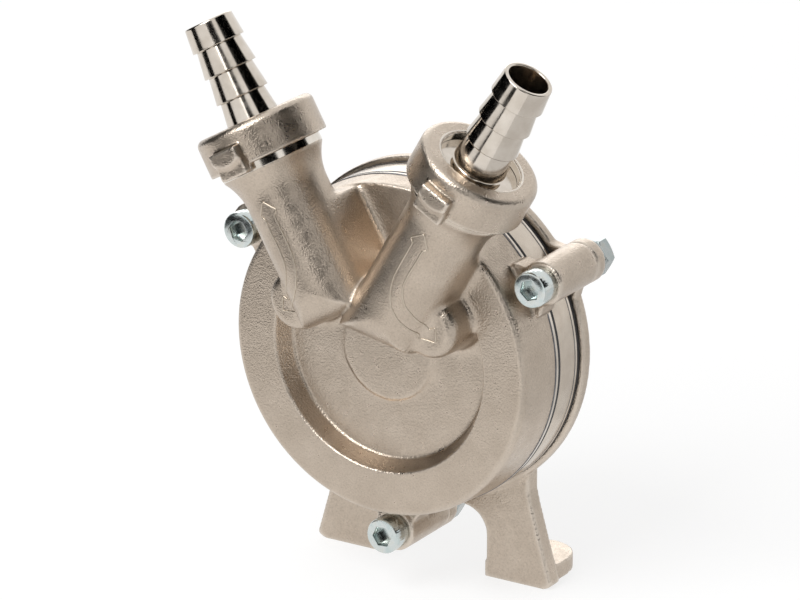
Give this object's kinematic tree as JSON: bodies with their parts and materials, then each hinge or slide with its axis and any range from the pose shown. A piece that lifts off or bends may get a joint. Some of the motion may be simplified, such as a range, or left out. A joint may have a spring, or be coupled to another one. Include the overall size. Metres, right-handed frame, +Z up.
{
  "type": "drill-driven transfer pump",
  "caption": "Self-priming transfer pump with a round casing, hose connections in a V on its front, two feet and a drive shaft at the back for a drill's chuck.",
  "frame": {"origin": "midway between the two foot holes, on the underside of the feet", "axes": "+Z up, +Y along the pump axis towards the drive shaft, +X to the right seen from the front"},
  "size_m": [0.1108, 0.1086, 0.1601],
  "materials": {
    "cast": "satin nickel plate on a sand casting",
    "machined": "bright nickel plate on turned brass",
    "plated": "bright nickel plate on turned brass",
    "bronze": "turned",
    "stainless": "ground",
    "steel": "polished",
    "spring_steel": "phosphated",
    "cage_brass": "pressed",
    "zinc": "blue zinc plate",
    "rubber": "matt"
  },
  "bodies": {
    "casing": {"front_cover": "cast", "middle_ring": "machined", "rear_cover": "cast", "front_o_ring": "rubber", "rear_o_ring": "rubber", "seal_case": "steel", "seal_lip": "rubber", "garter_spring": "steel", "bearing_outer_rings": "steel", "housing_circlip": "spring_steel", "cap_screws": "zinc", "lock_washers": "zinc", "hex_nuts": "zinc"},
    "rotor": {"impeller": "bronze", "impeller_key": "steel", "impeller_circlip": "spring_steel", "drive_shaft": "stainless", "shaft_circlips": "spring_steel", "bearing_inner_rings": "steel", "dust_ring": "rubber"},
    "ball_sets": {"bearing_balls": "steel", "bearing_cages": "cage_brass"},
    "left_tail": {"left_hose_tail": "plated", "left_gasket": "rubber"},
    "left_nut": {"left_union_nut": "cast"},
    "right_tail": {"right_hose_tail": "plated", "right_gasket": "rubber"},
    "right_nut": {"right_union_nut": "cast"}
  },
  "joints": [
    {"name": "shaft_spin", "type": "hinge", "parent": "casing", "child": "rotor", "pos_m": [0, -0.002, 0.0699], "axis": [0, 1, 0], "continuous": true},
    {"name": "ball_sets_spin", "type": "hinge", "parent": "casing", "child": "ball_sets", "pos_m": [0, 0.004, 0.0699], "axis": [0, 1, 0], "continuous": true},
    {"name": "left_tail_slide", "type": "slide", "parent": "casing", "child": "left_tail", "axis": [-0.4955, 0, 0.8686], "range_m": [0, 0.00519]},
    {"name": "left_nut_turn", "type": "hinge", "parent": "left_tail", "child": "left_nut", "pos_m": [-0.0327, -0.0477, 0.12723], "axis": [-0.4955, 0, 0.8686], "range_deg": [0, 1031]},
    {"name": "right_tail_slide", "type": "slide", "parent": "casing", "child": "right_tail", "axis": [0.4955, 0, 0.8686], "range_m": [0, 0.00519]},
    {"name": "right_nut_turn", "type": "hinge", "parent": "right_tail", "child": "right_nut", "pos_m": [0.0327, -0.0477, 0.12723], "axis": [0.4955, 0, 0.8686], "range_deg": [0, 1031]}
  ],
  "couplings": [
    {"joint": "ball_sets_spin", "follows": "shaft_spin", "ratio": 0.37},
    {"joint": "left_nut_turn", "follows": "left_tail_slide", "rad_per_m": 3463.7},
    {"joint": "right_nut_turn", "follows": "right_tail_slide", "rad_per_m": 3463.7}
  ]
}
